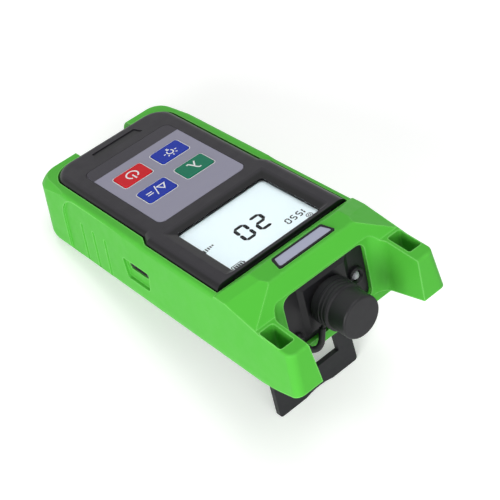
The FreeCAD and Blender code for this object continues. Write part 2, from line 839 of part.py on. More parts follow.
def rounded_path(points):
    """Straight runs joined by tangent arcs, as one wire through the given corner points."""
    edges = []
    start = points[0]
    for before, corner, after in zip(points, points[1:], points[2:]):
        run_in = corner - before
        run_out = after - corner
        turn = run_in.getAngle(run_out)
        cut = 0.45 * min(run_in.Length, run_out.Length)
        run_in.normalize()
        run_out.normalize()
        first = corner - run_in * cut
        last = corner + run_out * cut
        bisector = run_out - run_in
        bisector.normalize()
        radius = cut / math.tan(turn / 2)
        middle = corner + bisector * (radius / math.cos(turn / 2) - radius)
        edges.append(Part.LineSegment(start, first).toShape())
        edges.append(Part.Arc(first, middle, last).toShape())
        start = last
    edges.append(Part.LineSegment(start, points[-1]).toShape())
    return Part.Wire(edges)


def cap_tether():
    """Rubber strap: a ring in the cap's groove, a short free loop and a plug in the panel."""
    ring_start = tether_groove_y + tether_play
    ring_end = tether_groove_y + tether_thick - tether_play
    middle = (ring_start + ring_end) / 2
    ring = turned([(ring_start, tether_inner_radius), (ring_start, tether_outer_radius),
                   (ring_end, tether_outer_radius), (ring_end, tether_inner_radius)], 0, port_z)
    axis = V(0, middle, port_z)
    out = V(tether_pin_x, 0, -2 * tether_pin_drop).normalize()
    lug = rod(axis + out * tether_inner_radius, out, tether_lug_radius, tether_lug_length)
    plug_face = panel_face + tether_flange_thick
    far_end = V(tether_pin_x, plug_face, tether_pin_z)
    route = [axis + out * (tether_outer_radius + tether_radius)]
    span = tether_pin_x - tether_outer_radius
    for across, down, forward in ((-0.18, 0.19, 0.2), (0, 0.73, 0.6), (0.33, 1, 0.8),
                                  (0.75, 0.84, 0.3), (0.98, 0.3, -0.6)):
        route.append(axis + V(tether_outer_radius + across * span, forward,
                              -tether_outer_radius - down * tether_sag))
    route.append(far_end)
    path = rounded_path(route)
    section = Part.Wire(Part.makeCircle(tether_radius, route[0], route[1] - route[0]))
    strap = path.makePipeShell([section], True, False)
    flange = tether_pin_radius + tether_flange_rim
    plug = turned([(case_end, 0), (case_end, tether_pin_radius), (panel_face, tether_pin_radius),
                   (panel_face, flange), (plug_face, flange), (plug_face + tether_radius, tether_radius),
                   (plug_face + tether_radius, 0)], tether_pin_x, tether_pin_z)
    return ring.fuse([lug, strap, plug])


# ---- boot --------------------------------------------------------------------------------------
def boot_outline(z):
    half = boot_half - boot_flare * z
    start = boot_start + boot_end_flare * z
    tip = horn_tip - horn_rake * z
    return [V(half, start, z), V(half, tip, z), V(-half, tip, z), V(-half, start, z)]


def boot_outside():
    height = bridge_top - boot_bottom
    block = tapered_block(boot_outline(boot_bottom), boot_outline(bridge_top))
    block = round_edges(block, boot_corner,
                        lambda edge: upright(edge, height) and edge.CenterOfMass.y < key_first_row)
    block = round_edges(block, horn_round,
                        lambda edge: upright(edge, height) and edge.CenterOfMass.y > wall_end)
    return round_edges(block, boot_round,
                       lambda edge: edge.BoundBox.ZMax < boot_bottom + 0.01
                       and edge.BoundBox.YMin < wall_start)


def nose():
    """The boot's outline with a strongly rounded upper edge, which fades out along the sides."""
    def outline(z):
        near = boot_half - boot_flare * z + nose_gap
        start = boot_start + boot_end_flare * z - nose_gap
        far = near + nose_spread * (horn_tip + huge - start)
        return [V(near, start, z), V(far, horn_tip + huge, z),
                V(-far, horn_tip + huge, z), V(-near, start, z)]
    low = boot_bottom - past
    block = tapered_block(outline(low), outline(nose_rise))
    block = round_edges(block, boot_corner, lambda edge: upright(edge, nose_rise - low)
                        and edge.CenterOfMass.y < key_first_row)
    return round_edges(block, nose_round, lambda edge: edge.BoundBox.ZMin > nose_rise - 0.01
                       and edge.BoundBox.YMin < horn_tip)


def rim_profile():
    """Side view of the boot without its bridge: rim heights, horn tops and raised toes."""
    floor = boot_bottom - past
    end = horn_tip + huge
    root = bridge_foot()
    return [(-huge, floor), (wall_end, floor), (wall_end, horn_base),
            (end, horn_base + horn_rise * (end - wall_end)),
            (end, horn_top - horn_fall * (end - root)), (root, horn_top),
            (bridge_flat, rim_display), (jog_start + jog_length, rim_display),
            (jog_start, rim_grip), (-huge, rim_grip)]


def bridge_foot():
    """y at which the bridge's slope over the port comes down to the horns' top."""
    return wall_end - bridge_fall + bridge_fall * (bridge_top - horn_top) / (bridge_top + bridge_brow)


def shoulder():
    """What is cleared away where the bridge's sides fall towards the horns."""
    side = side_x(rim_display, 0)
    y = bridge_flat + shoulder_lead
    along_y = (horn_top - rim_display) / (bridge_foot() - bridge_flat)
    across = (rim_display + along_y * shoulder_lead - bridge_top) / (side - bridge_half)

    def above(x, y_at):
        return V(x, y_at, bridge_top + across * (x - bridge_half) + along_y * (y_at - y))
    corners = [above(0, bridge_start), above(huge, bridge_start),
               above(huge, bridge_foot()), above(0, bridge_foot())]
    return polygon(corners).extrude(V(0, 0, huge))


def bridge(outside):
    """The bar across the case: sloped towards the display, and over the port down to the horns."""
    profile = side_prism([(bridge_start, shelf_z), (bridge_start, rim_display),
                          (bridge_flat, bridge_top), (wall_end - bridge_fall, bridge_top),
                          (bridge_foot(), horn_top), (wall_start, horn_top)], -huge, huge)
    side = side_x(rim_display, 0)
    low = bridge_top - (bridge_top - rim_display) * (huge - bridge_half) / (side - bridge_half)
    section = cross_prism([(-huge, low), (0, low - huge), (huge, low), (bridge_half, bridge_top),
                           (-bridge_half, bridge_top)], bridge_start - past, bridge_foot() + past)
    bar = profile.common(section)
    bar = round_edges(bar, bridge_round, lambda edge: edge.BoundBox.ZMax > bridge_top - 0.01)
    return bar.common(outside).cut(both_sides(shoulder()))


def horn_gap():
    """The space between the horns, which narrows downwards and is coved at the end wall."""
    low = boot_bottom - past
    low_half = horn_gap_top + horn_gap_taper * low
    high_half = horn_gap_top + horn_gap_taper * past
    gap = cross_prism([(-low_half, low), (low_half, low), (high_half, past), (-high_half, past)],
                      wall_end, horn_tip + huge)
    return round_edges(gap, horn_cove, lambda edge: upright(edge, past - low)
                       and edge.CenterOfMass.y < wall_end + past)


def strap_slot():
    slot = box(strap_inner, strap_inner + strap_width, strap_start, strap_start + strap_length,
               boot_bottom, 0)
    return round_edges(slot, strap_corner, lambda edge: along(edge, Z_AXIS))


def side_x(z, sink):
    """x of the boot's flared side wall at a height, sunk in by a depth."""
    return boot_half - boot_flare * z - sink


def side_slab(sink_near, sink_far, y0, y1):
    """Everything outside the boot's flared side wall, sunk into it by a depth that may change."""
    def section(y, sink):
        return [V(side_x(boot_bottom, sink), y, boot_bottom), V(huge, y, boot_bottom),
                V(huge, y, 0), V(side_x(0, sink), y, 0)]
    return tapered_block(section(y0, sink_near), section(y1, sink_far))


def grip_relief():
    """Arched hollow for finger and thumb that fades out towards the display."""
    arch = box(0, huge, relief_start, relief_end, boot_bottom, relief_top)
    arch = round_edges(arch, relief_corner,
                       lambda edge: along(edge, X_AXIS) and edge.CenterOfMass.z > relief_top - 0.01
                       and edge.CenterOfMass.y < key_first_row)
    return arch.common(side_slab(relief_sink, relief_fade, relief_start, relief_end))


def grip_groove(y):
    sink = relief_sink * (relief_end - y) / relief_length
    top = V(side_x(groove_top, sink), y, groove_top)
    bottom = V(side_x(groove_bottom, sink), y, groove_bottom)
    groove = rod(top, bottom - top, groove_radius, (bottom - top).Length)
    return groove.fuse(Part.makeSphere(groove_radius, top))


def usb_scoop():
    """Slanted hollow round the charging port, so that a plug's grip can reach it."""
    half = usb_width / 2 + usb_scoop_side
    foot = half - usb_scoop_lean
    top = usb_z + usb_slot_height / 2 + usb_scoop_above
    low = top - usb_scoop_height
    arch = side_prism([(usb_y - foot, low), (usb_y + foot, low),
                       (usb_y + half, top), (usb_y - half, top)], 0, huge)
    arch = round_edges(arch, usb_scoop_corner, lambda edge: along(edge, X_AXIS))
    return arch.common(side_slab(usb_scoop_sink, usb_scoop_sink, usb_y - half, usb_y + half))


def badge_outline(z, inset):
    return [V(-badge_near_half + inset, badge_start + inset, z),
            V(badge_near_half - inset, badge_start + inset, z),
            V(badge_far_half - inset, badge_end - inset, z),
            V(-badge_far_half + inset, badge_end - inset, z)]


def badge_block(z0, z1, inset):
    block = polygon(badge_outline(z0, inset)).extrude(V(0, 0, z1 - z0))
    return round_edges(block, badge_corner, lambda edge: along(edge, Z_AXIS))


def badge_frame():
    base = bridge_top - badge_sink
    frame = badge_block(base, base + badge_thick, 0)
    return frame.cut(badge_block(base + badge_thick / 2, base + badge_thick, badge_border))


def badge_plate():
    middle = bridge_top - badge_sink + badge_thick / 2
    return badge_block(middle, middle + plate_thick, badge_border)


def is_rim(edge):
    """An outer top edge of the boot beside the keypad, the display or the bridge."""
    box_of = edge.BoundBox
    return (box_of.ZMin > rim_display - 0.01 and box_of.YMax < bridge_flat + 0.01
            and not (box_of.XLength > boot_half))


def is_horn_edge(edge):
    """An outer top edge of the horns, or of the tip that later becomes theirs."""
    box_of = edge.BoundBox
    return (box_of.YMin > bridge_foot() - 0.01 and box_of.YMax > bridge_foot() + 0.01
            and box_of.ZMin > horn_top - horn_fall * huge)


def boot():
    """The green boot: flared walls, a bridge over the case and two horns beside the port."""
    outside = boot_outside()
    low = outside.common(side_prism(rim_profile(), -huge, huge))
    low = round_edges(low, rim_round, is_rim).common(nose())
    low = round_edges(low, horn_edge, is_horn_edge)
    body = low.fuse(bridge(outside))
    case_room = case_solid(shelf_z + fit_gap, fit_gap)
    open_top = case_block(shelf_z, bridge_top, -fit_gap).common(
        box(-huge, huge, -huge, bridge_start - fit_gap, shelf_z, bridge_top))
    back_window = rounded_plate(window_half, window_start, window_end, boot_bottom,
                                case_bottom, window_corner)
    lip_gap = box(-lip_half, lip_half, -huge, recess_start, -lip_drop, past)
    cuts = [case_room, open_top, back_window, lip_gap, horn_gap(),
            port_prism(case_end - past, wall_end + past, 0), badge_block(bridge_top - badge_sink, bridge_top, 0)]
    cuts += both_sides(strap_slot()) + both_sides(grip_relief())
    for index in range(groove_count):
        cuts += both_sides(grip_groove(groove_first + index * groove_pitch))
    cuts += [usb_scoop(), usb_opening(case_wall, huge), below_ground()]
    return body.cut(cuts)


# ---- kickstand ---------------------------------------------------------------------------------
def stand_toe():
    """The outer lower edge of the open stand, which touches the table."""
    angle = math.radians(90 + stand_lean)
    y = -stand_length
    z = -stand_thick / 2
    return V(0, stand_pin_y + y * math.cos(angle) - z * math.sin(angle),
             stand_pin_z + y * math.sin(angle) + z * math.cos(angle))


def tip_angle():
    """Angle in degrees by which the open stand raises the port end of the meter."""
    z = boot_bottom + boot_round
    y = boot_start + boot_end_flare * z + boot_round * math.hypot(1, boot_end_flare)
    reach = stand_toe() - V(0, y, z)
    radius = boot_round - boot_foot
    return math.degrees(math.atan2(-reach.z, reach.y) - math.asin(radius / reach.Length))


def below_ground():
    """Everything under the table that the open stand and the boot's button end rest on."""
    toe = stand_toe()
    ground = box(-huge, huge, toe.y - 5 * huge, toe.y + huge, toe.z - huge, toe.z)
    ground.rotate(toe, X_AXIS, -tip_angle())
    return ground


def stand_flat():
    """The stand in its folded position: two legs, knuckles with stop heels, and a notched foot."""
    half = stand_thick / 2
    up = V(0, 0, stand_thick)
    frame = polygon(stand_outline(stand_pin_z - half, 0, stand_pin_y)).extrude(up)
    foot = stand_pin_y - stand_length
    frame = round_edges(frame, stand_corner,
                        lambda edge: along(edge, Z_AXIS) and edge.CenterOfMass.y < foot + 0.01)
    notch_radius = (stand_notch_half ** 2 + stand_notch ** 2) / (2 * stand_notch)
    notch = rod(V(0, foot + stand_notch - notch_radius, stand_pin_z - half), Z_AXIS,
                notch_radius, stand_thick)
    inside = polygon(stand_window(stand_pin_z - half, 0, stand_pin_y + past)).extrude(up)
    frame = frame.cut([notch, inside])
    outer = stand_root_half
    inner = stand_root_half - stand_leg
    for x0, x1 in ((inner, outer), (-outer, -inner)):
        knuckle = rod(V(x0, stand_pin_y, stand_pin_z), X_AXIS, knuckle_radius, x1 - x0)
        heel = box(x0, x1, stand_pin_y - heel_length, stand_pin_y,
                   stand_pin_z - knuckle_radius, stand_pin_z)
        frame = frame.fuse([knuckle, heel])
    return frame.cut(rod(V(-outer - past, stand_pin_y, stand_pin_z), X_AXIS,
                         stand_pin_radius + stand_pin_play, 2 * outer + 2 * past))


def kickstand():
    opened = stand_flat()
    opened.rotate(V(0, stand_pin_y, stand_pin_z), X_AXIS, 90 + stand_lean)
    return opened.cut(below_ground())


def stand_pin():
    return rod(V(-pin_half, stand_pin_y, stand_pin_z), X_AXIS, stand_pin_radius, 2 * pin_half)


# ---- assembly ----------------------------------------------------------------------------------
def build():
    parts = {"boot": boot(), "front_cover": front_cover(), "rear_cover": rear_cover(),
             "connector_panel": connector_panel(), "case_screws": case_screws(),
             "keypad_overlay": keypad_overlay(), "key_domes": key_domes(),
             "display_window": display_window(), "display_gasket": display_gasket(),
             "lcd_module": lcd_module(), "badge_frame": badge_frame(), "badge_plate": badge_plate(),
             "main_board": main_board(), "battery_cell": battery_cell(), "usb_socket": usb_socket(),
             "port_adapter": port_adapter(), "port_nut": port_nut(), "detector": detector(),
             "dust_cap": dust_cap(), "cap_tether": cap_tether(), "torch_led": torch_led(),
             "torch_bezel": torch_bezel(), "kickstand": kickstand(), "stand_pin": stand_pin()}
    for name, place in key_places().items():
        parts[name] = key(place)
    return parts


def stand_up(parts):
    """Tips the meter onto its stand, table at z = 0, centred over the origin."""
    for shape in parts.values():
        shape.rotate(V(0, 0, 0), X_AXIS, tip_angle())
    whole = Part.makeCompound(list(parts.values())).optimalBoundingBox(False, False)
    table = FreeCAD.Rotation(X_AXIS, tip_angle()).multVec(stand_toe()).z
    shift = V(-whole.Center.x, -whole.Center.y, -table)
    for shape in parts.values():
        shape.translate(shift)
    print("tip angle", round(tip_angle(), 4), "shift", shift, "size", whole.XLength, whole.YLength,
          whole.ZLength)


def main():
    os.makedirs("parts", exist_ok=True)
    parts = build()
    stand_up(parts)
    for name, shape in parts.items():
        if not shape.isValid():
            print("not valid:", name)
        shape.exportStep("parts/" + name + ".step")
        print(name, len(shape.Solids), round(shape.Volume, 1))


main()
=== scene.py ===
import json
import math

import bpy
from mathutils import Matrix, Vector

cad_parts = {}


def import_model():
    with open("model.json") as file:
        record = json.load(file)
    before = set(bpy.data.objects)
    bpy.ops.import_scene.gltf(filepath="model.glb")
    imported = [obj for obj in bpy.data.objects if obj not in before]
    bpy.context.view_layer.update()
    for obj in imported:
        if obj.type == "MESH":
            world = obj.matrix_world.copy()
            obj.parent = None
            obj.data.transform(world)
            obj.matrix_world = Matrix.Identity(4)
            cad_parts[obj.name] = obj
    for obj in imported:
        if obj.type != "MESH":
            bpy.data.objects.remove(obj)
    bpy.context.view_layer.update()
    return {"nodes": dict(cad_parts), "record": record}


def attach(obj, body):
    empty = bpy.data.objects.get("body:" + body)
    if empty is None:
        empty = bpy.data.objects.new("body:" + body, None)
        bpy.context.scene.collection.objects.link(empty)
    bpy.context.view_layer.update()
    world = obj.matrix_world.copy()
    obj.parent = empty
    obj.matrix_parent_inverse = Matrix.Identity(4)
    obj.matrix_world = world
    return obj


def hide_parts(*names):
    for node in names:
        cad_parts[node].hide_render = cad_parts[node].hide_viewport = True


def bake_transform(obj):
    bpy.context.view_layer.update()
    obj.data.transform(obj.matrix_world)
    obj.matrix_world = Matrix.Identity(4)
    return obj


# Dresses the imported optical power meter: materials, printed marks, display, light and camera.
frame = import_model()

# ---- the meter's own axes ------------------------------------------------------------------
# +X is the user's right, +Y points towards the optical port and +Z out of the keypad's face.
# The origin is on that face, over the port's axis. The open stand tips the axes in the room.
# Sizes and places are millimetres in these axes, unless a comment says otherwise.
JOINTS = {joint["name"]: joint for joint in frame["record"]["behaviour"]["joints"]}
MOUNTS = {mount["name"]: mount for mount in frame["record"]["mounts"]}
MM = 0.001
Y_DIR = Vector(JOINTS["cap_slide"]["axis"]).normalized()
Z_DIR = -Vector(JOINTS["power_key_press"]["axis"]).normalized()
X_DIR = Y_DIR.cross(Z_DIR)
KEYPAD_NEAR = 13.2        # y of the keypad's near edge


def direction(x, y, z):
    return X_DIR * x + Y_DIR * y + Z_DIR * z


def vertices_of(node, origin):
    """The vertices of a CAD node in the meter's axes, from an origin in the room."""
    offsets = [vertex.co - origin for vertex in frame["nodes"][node].data.vertices]
    return [Vector((offset.dot(X_DIR), offset.dot(Y_DIR), offset.dot(Z_DIR))) / MM
            for offset in offsets]


def span(node, origin):
    """Lowest and highest corner of a CAD node in the meter's axes."""
    points = vertices_of(node, origin)
    low = Vector([min(point[axis] for point in points) for axis in range(3)])
    high = Vector([max(point[axis] for point in points) for axis in range(3)])
    return low, high


port = Vector(MOUNTS["optical_port"]["pos_m"])
pad_low, pad_high = span("keypad_overlay", port)
ORIGIN = port + (Y_DIR * (pad_low.y - KEYPAD_NEAR) + Z_DIR * pad_high.z) * MM


def world(x, y, z):
    """A place of the meter in the room, in metres."""
    return ORIGIN + direction(x, y, z) * MM


def add(name, data):
    """Puts a mesh, light or camera into the scene."""
    thing = bpy.data.objects.new(name, data)
    bpy.context.scene.collection.objects.link(thing)
    return thing


def new_mesh(name, vertices, faces, material):
    mesh = bpy.data.meshes.new(name)
    mesh.from_pydata(vertices, [], faces)
    mesh.materials.append(material)
    return mesh


# ---- node trees ----------------------------------------------------------------------------
def parts_of(material):
    """The node tree of a material and its shader."""
    tree = material.node_tree
    return tree, tree.nodes["Principled BSDF"]


def new_material(name):
    """A new material, its node tree and its shader."""
    material = bpy.data.materials.new(name)
    material.use_nodes = True
    return (material, *parts_of(material))


def feed(tree, pin, source):
    """Links a pin to the output of another node, or sets it to a constant."""
    if isinstance(source, bpy.types.NodeSocket):
        tree.links.new(source, pin)
    else:
        pin.default_value = source


def maths(tree, operation, first, second, kind="ShaderNodeMath"):
    node = tree.nodes.new(kind)
    node.operation = operation
    feed(tree, node.inputs[0], first)
    if second is not None:
        feed(tree, node.inputs[1], second)
    return node.outputs["Value"]


def vector_maths(tree, operation, first, second=None):
    """A number worked out from one vector or two."""
    return maths(tree, operation, first, second, "ShaderNodeVectorMath")


def mapped(tree, value, start, end, low=0.0, high=1.0, smooth=False):
    """Maps start...end to low...high, and stays between those."""
    node = tree.nodes.new("ShaderNodeMapRange")
    if smooth:
        node.interpolation_type = "SMOOTHSTEP"
    limits = {"From Min": start, "From Max": end, "To Min": low, "To Max": high}
    for pin, limit in limits.items():
        node.inputs[pin].default_value = limit
    tree.links.new(value, node.inputs["Value"])
    return node.outputs["Result"]


def mixed(tree, kind, factor, first, second):
    """Mixes two colours (RGBA) or numbers (FLOAT), each an output or a constant."""
    node = tree.nodes.new("ShaderNodeMix")
    node.data_type = kind
    tree.links.new(factor, node.inputs["Factor"])
    ends = [pin for pin in node.inputs if pin.enabled and pin.name in ("A", "B")]
    feed(tree, ends[0], first)
    feed(tree, ends[1], second)
    return next(pin for pin in node.outputs if pin.enabled)


def shaded(colour, share):
    """A share of a colour's brightness."""
    return tuple(channel * share for channel in colour)


def place_on(tree):
    """The place on a piece that its textures follow, in metres."""
    return tree.nodes.new("ShaderNodeTexCoord").outputs["Object"]


def noise(tree, scale, detail=2.0, stretch=None):
    """Noise with that many features per metre."""
    texture = tree.nodes.new("ShaderNodeTexNoise")
    texture.inputs["Scale"].default_value = scale
    texture.inputs["Detail"].default_value = detail
    place = place_on(tree)
    if stretch:
        mapping = tree.nodes.new("ShaderNodeMapping")
        mapping.inputs["Scale"].default_value = stretch
        tree.links.new(place, mapping.inputs["Vector"])
        place = mapping.outputs["Vector"]
    tree.links.new(place, texture.inputs["Vector"])
    return texture.outputs["Fac"]


NOISE_LOW, NOISE_HIGH = 0.3, 0.7          # between these lies most of a noise


def spread(tree, value, low, high):
    """Maps a noise from its usual range to low...high."""
    return mapped(tree, value, NOISE_LOW, NOISE_HIGH, low, high)


def paint(tree, shader, factor, first, second):
    """Colours a surface between two colours."""
    colours = mixed(tree, "RGBA", factor, (*first, 1), (*second, 1))
    tree.links.new(colours, shader.inputs["Base Color"])


def roughen(tree, shader, value, roughness, less, more):
    """Makes the gloss uneven: a noise takes the roughness that much lower and higher."""
    gloss = spread(tree, value, roughness - less, roughness + more)
    tree.links.new(gloss, shader.inputs["Roughness"])


def relief(tree, shader, heights):
    """Chains bumps, each a height field and its depth in millimetres, into the normal."""
    previous = None
    for value, depth in heights:
        bump = tree.nodes.new("ShaderNodeBump")
        bump.inputs["Strength"].default_value = 1.0
        bump.inputs["Distance"].default_value = depth * MM
        tree.links.new(value, bump.inputs["Height"])
        if previous:
            tree.links.new(previous, bump.inputs["Normal"])
        previous = bump.outputs["Normal"]
    tree.links.new(previous, shader.inputs["Normal"])


def any_ray(tree, *kinds):
    """1 for rays of these kinds and 0 for the others."""
    outputs = tree.nodes.new("ShaderNodeLightPath").outputs
    total = outputs[f"Is {kinds[0]} Ray"]
    for kind in kinds[1:]:
        total = maths(tree, "MAXIMUM", total, outputs[f"Is {kind} Ray"])
    return total


# ---- materials -----------------------------------------------------------------------------
# Scales are features per metre. Grains, depths and radii are millimetres.
FLOW_SCALE, FLOW_SHARE = 55, 0.35         # mottled colour, and how much of it shows
GLOSS_SCALE = 260                         # patches of uneven gloss
WAVE_SCALE, WAVE_DEPTH = 320, 1.6         # waves, and their depth over the grain's
STREAK_SCALE, STREAK_DEPTH = 900, 0.004   # streaks in metal
SMEAR_SCALE = 70                          # smears on clear pieces
FILM_SCALE, FILM_DEPTH = 1600, 0.002      # unevenness of an ink's film
TRACK_SCALE = 420                         # tracks of the circuit board
MASK_SCALE, MASK_DEPTH = 900, 0.01        # unevenness of its solder mask


def moulded(name, colour, mottle, roughness, grain, depth, specular=0.5):
    """Moulded rubber or plastic: grained and wavy, with mottled colour and uneven gloss."""
    material, tree, shader = new_material(name)
    flow = noise(tree, FLOW_SCALE, detail=4.0)
    paint(tree, shader, spread(tree, flow, 0, FLOW_SHARE), colour, mottle)
    patches = noise(tree, GLOSS_SCALE, detail=3.0)
    roughen(tree, shader, patches, roughness, less=0.05, more=0.06)
    fine = noise(tree, 1 / MM / grain, detail=3.0)
    relief(tree, shader, [(fine, depth), (noise(tree, WAVE_SCALE), depth * WAVE_DEPTH)])
    shader.inputs["Specular IOR Level"].default_value = specular
    return material


def painted_edge_highlights(material, radius, highlight_colour):
    """Paints a highlight along the edges of a moulded material, convex and concave alike:
    painted light.
    """
    flat, at_highlight = 1.0, 0.85              # how far the rounded normal follows the true one
    tree, shader = parts_of(material)
    rounded = tree.nodes.new("ShaderNodeBevel")
    rounded.samples = 6
    rounded.inputs["Radius"].default_value = radius * MM
    true_normal = tree.nodes.new("ShaderNodeNewGeometry").outputs["Normal"]
    match = vector_maths(tree, "DOT_PRODUCT", rounded.outputs["Normal"], true_normal)
    base = shader.inputs["Base Color"]
    source = base.links[0].from_socket
    # painted highlight: lighter where the rounded normal parts from the true one
    highlight = mapped(tree, match, flat, at_highlight)
    tree.links.new(mixed(tree, "RGBA", highlight, source, (*highlight_colour, 1)), base)
    return material


def polished_with_painted_shade(material, top, shade_colour):
    """Polishes a moulded material where it drops below its satin top face, and paints shade
    there: it turns near-black in recesses and along rounded borders.
    """
    deep, shallow = 0.5, 0.05             # the change is spread between these, below the top
    tree, shader = parts_of(material)
    height = vector_maths(tree, "DOT_PRODUCT", place_on(tree), Z_DIR)
    level = ORIGIN.dot(Z_DIR) + top * MM
    satin = mapped(tree, height, level - deep * MM, level - shallow * MM, smooth=True)
    # painted shade: the colour below the top face is near-black; the lower roughness is the real
    # polish
    polished_and_shaded = {"Base Color": ("RGBA", (*shade_colour, 1)), "Roughness": ("FLOAT", 0.3)}
    for socket, (kind, below) in polished_and_shaded.items():
        pin = shader.inputs[socket]
        source = pin.links[0].from_socket
        tree.links.new(mixed(tree, kind, satin, below, source), pin)
    return material


def metal(name, colour, roughness, stretch):
    """Bare metal, streaked by its making."""
    material, tree, shader = new_material(name)
    shader.inputs["Metallic"].default_value = 1.0
    streak = noise(tree, STREAK_SCALE, detail=3.0, stretch=stretch)
    paint(tree, shader, spread(tree, streak, 0, 1), colour, shaded(colour, 0.86))
    roughen(tree, shader, streak, roughness, less=0.06, more=0.1)
    relief(tree, shader, [(streak, STREAK_DEPTH)])
    return material


def clear(name, tint, roughness, index=1.45, clearness=1.0):
    """Clear plastic, faintly smeared."""
    material, tree, shader = new_material(name)
    shader.inputs["Transmission Weight"].default_value = clearness
    shader.inputs["IOR"].default_value = index
    smear = noise(tree, SMEAR_SCALE)
    paint(tree, shader, smear, tint, shaded(tint, 0.985))
    roughen(tree, shader, smear, roughness, less=0.0, more=0.02)
    return material


def printed(name, colour, roughness=0.45, glow=0.0, specular=0.5):
    """Screen-printed ink, with the slight unevenness of its film."""
    material, tree, shader = new_material(name)
    film = noise(tree, FILM_SCALE, detail=3.0)
    paint(tree, shader, film, colour, shaded(colour, 0.9))
    roughen(tree, shader, film, roughness, less=0.04, more=0.05)
    relief(tree, shader, [(film, FILM_DEPTH)])
    shader.inputs["Specular IOR Level"].default_value = specular
    if glow:
        shader.inputs["Emission Color"].default_value = (*colour, 1)
        shader.inputs["Emission Strength"].default_value = glow
    return material


def circuit_board(name, mask, track):
    """Solder mask over a faint pattern of tracks."""
    material, tree, shader = new_material(name)
    cells = tree.nodes.new("ShaderNodeTexVoronoi")
    cells.feature = "DISTANCE_TO_EDGE"
    cells.inputs["Scale"].default_value = TRACK_SCALE
    tree.links.new(place_on(tree), cells.inputs["Vector"])
    paint(tree, shader, spread(tree, cells.outputs["Distance"], 1, 0), mask, track)
    shader.inputs["Roughness"].default_value = 0.35
    relief(tree, shader, [(noise(tree, MASK_SCALE), MASK_DEPTH)])
    return material


def boot_rubber(name):
    rubber = moulded(name, (0.084, 0.48, 0.044), (0.068, 0.435, 0.036), roughness=0.45,
                     grain=0.55, depth=0.006, specular=0.14)
    # painted highlight: the boot's edges lighten towards a light green, convex and concave alike
    return painted_edge_highlights(rubber, radius=0.8, highlight_colour=(0.2, 0.66, 0.14))


def case_plastic(name):
    return moulded(name, (0.024, 0.0225, 0.027), (0.019, 0.018, 0.0215), roughness=0.5,
                   grain=0.22, depth=0.012, specular=0.25)


def key_plastic(name, colour, mottle):
    return moulded(name, colour, mottle, roughness=0.42, grain=0.2, depth=0.003, specular=0.15)


cover_top = span("front_cover", ORIGIN)[1].z
MATERIALS = {
    "boot": boot_rubber("boot_rubber"),
    "case": case_plastic("case_plastic"),
    # painted shade: the face darkens to near-black below its top, in the display's recess and
    # along its rounded borders
    "face": polished_with_painted_shade(case_plastic("case_face"), cover_top, shade_colour=(0.006, 0.006, 0.007)),
    "panel": moulded("panel_plastic", (0.009, 0.0085, 0.0105), (0.007, 0.007, 0.0085),
                     roughness=0.4, grain=0.5, depth=0.004, specular=0.25),
    "stand": moulded("stand_plastic", (0.016, 0.016, 0.0185), (0.012, 0.012, 0.0145),
                     roughness=0.48, grain=0.3, depth=0.01, specular=0.22),
    "cap": moulded("cap_rubber", (0.013, 0.013, 0.0145), (0.009, 0.009, 0.0105),
                   roughness=0.44, grain=0.3, depth=0.008, specular=0.25),
    "film": moulded("keypad_film", (0.285, 0.28, 0.36), (0.265, 0.26, 0.34),
                    roughness=0.5, grain=0.16, depth=0.004, specular=0.35),
    "red": key_plastic("key_red", (0.62, 0.012, 0.02), (0.54, 0.01, 0.017)),
    "blue": key_plastic("key_blue", (0.014, 0.038, 0.38), (0.011, 0.03, 0.33)),
    "green": key_plastic("key_green", (0.007, 0.18, 0.1), (0.005, 0.15, 0.08)),
    "foam": moulded("foam", (0.018, 0.018, 0.018), (0.03, 0.03, 0.03),
                    roughness=0.85, grain=0.4, depth=0.05),
    "badge": moulded("badge_frame", (0.008, 0.008, 0.01), (0.012, 0.012, 0.014),
                     roughness=0.4, grain=0.4, depth=0.002, specular=0.15),
    "lavender": moulded("badge_plate", (0.40, 0.42, 0.55), (0.33, 0.34, 0.47),
                        roughness=0.34, grain=0.6, depth=0.004),
    # the display's faint glow is painted light, keeping it bright under the window
    "display": printed("display_glass", (0.76, 0.87, 0.9), roughness=0.3, glow=0.05),
    "window": clear("display_window", (0.985, 0.995, 1.0), roughness=0.01, index=1.15),
    "lens": clear("torch_lens", (0.78, 0.8, 0.86), roughness=0.04, clearness=0.45),
    "steel": metal("steel", (0.62, 0.62, 0.64), roughness=0.32, stretch=(1, 6, 1)),
    "socket": metal("socket_steel", (0.06, 0.06, 0.065), roughness=0.4, stretch=(6, 1, 1)),
    "nickel": metal("nickel", (0.7, 0.66, 0.56), roughness=0.26, stretch=(1, 8, 8)),
    "board": circuit_board("board_mask", mask=(0.012, 0.11, 0.04), track=(0.03, 0.2, 0.07)),
    "cell": moulded("cell_film", (0.2, 0.27, 0.5), (0.16, 0.22, 0.43),
                    roughness=0.3, grain=0.8, depth=0.01),
    "white": printed("white_ink", (0.86, 0.87, 0.88)),
    "band": printed("band_ink", (0.045, 0.042, 0.052), specular=0.2),
    "black": printed("segment_ink", (0.004, 0.004, 0.005), roughness=0.6, specular=0.05),
}

LOOK_OF = {
    "boot": "boot", "front_cover": "face", "rear_cover": "case", "connector_panel": "panel",
    "case_screws": "steel", "keypad_overlay": "film", "key_domes": "steel",
    "display_window": "window", "display_gasket": "foam", "lcd_module": "display",
    "badge_frame": "badge", "badge_plate": "lavender", "main_board": "board",
    "battery_cell": "cell", "usb_socket": "socket", "port_adapter": "nickel",
    "port_nut": "nickel", "detector": "steel", "dust_cap": "cap", "cap_tether": "cap",
    "torch_led": "lens", "torch_bezel": "panel", "kickstand": "stand", "stand_pin": "steel",
    "key_power": "red", "key_lamp": "blue", "key_reference": "blue", "key_wavelength": "green",
}

for node, look in LOOK_OF.items():
    slots = frame["nodes"][node].data.materials
    slots.clear()
    slots.append(MATERIALS[look])


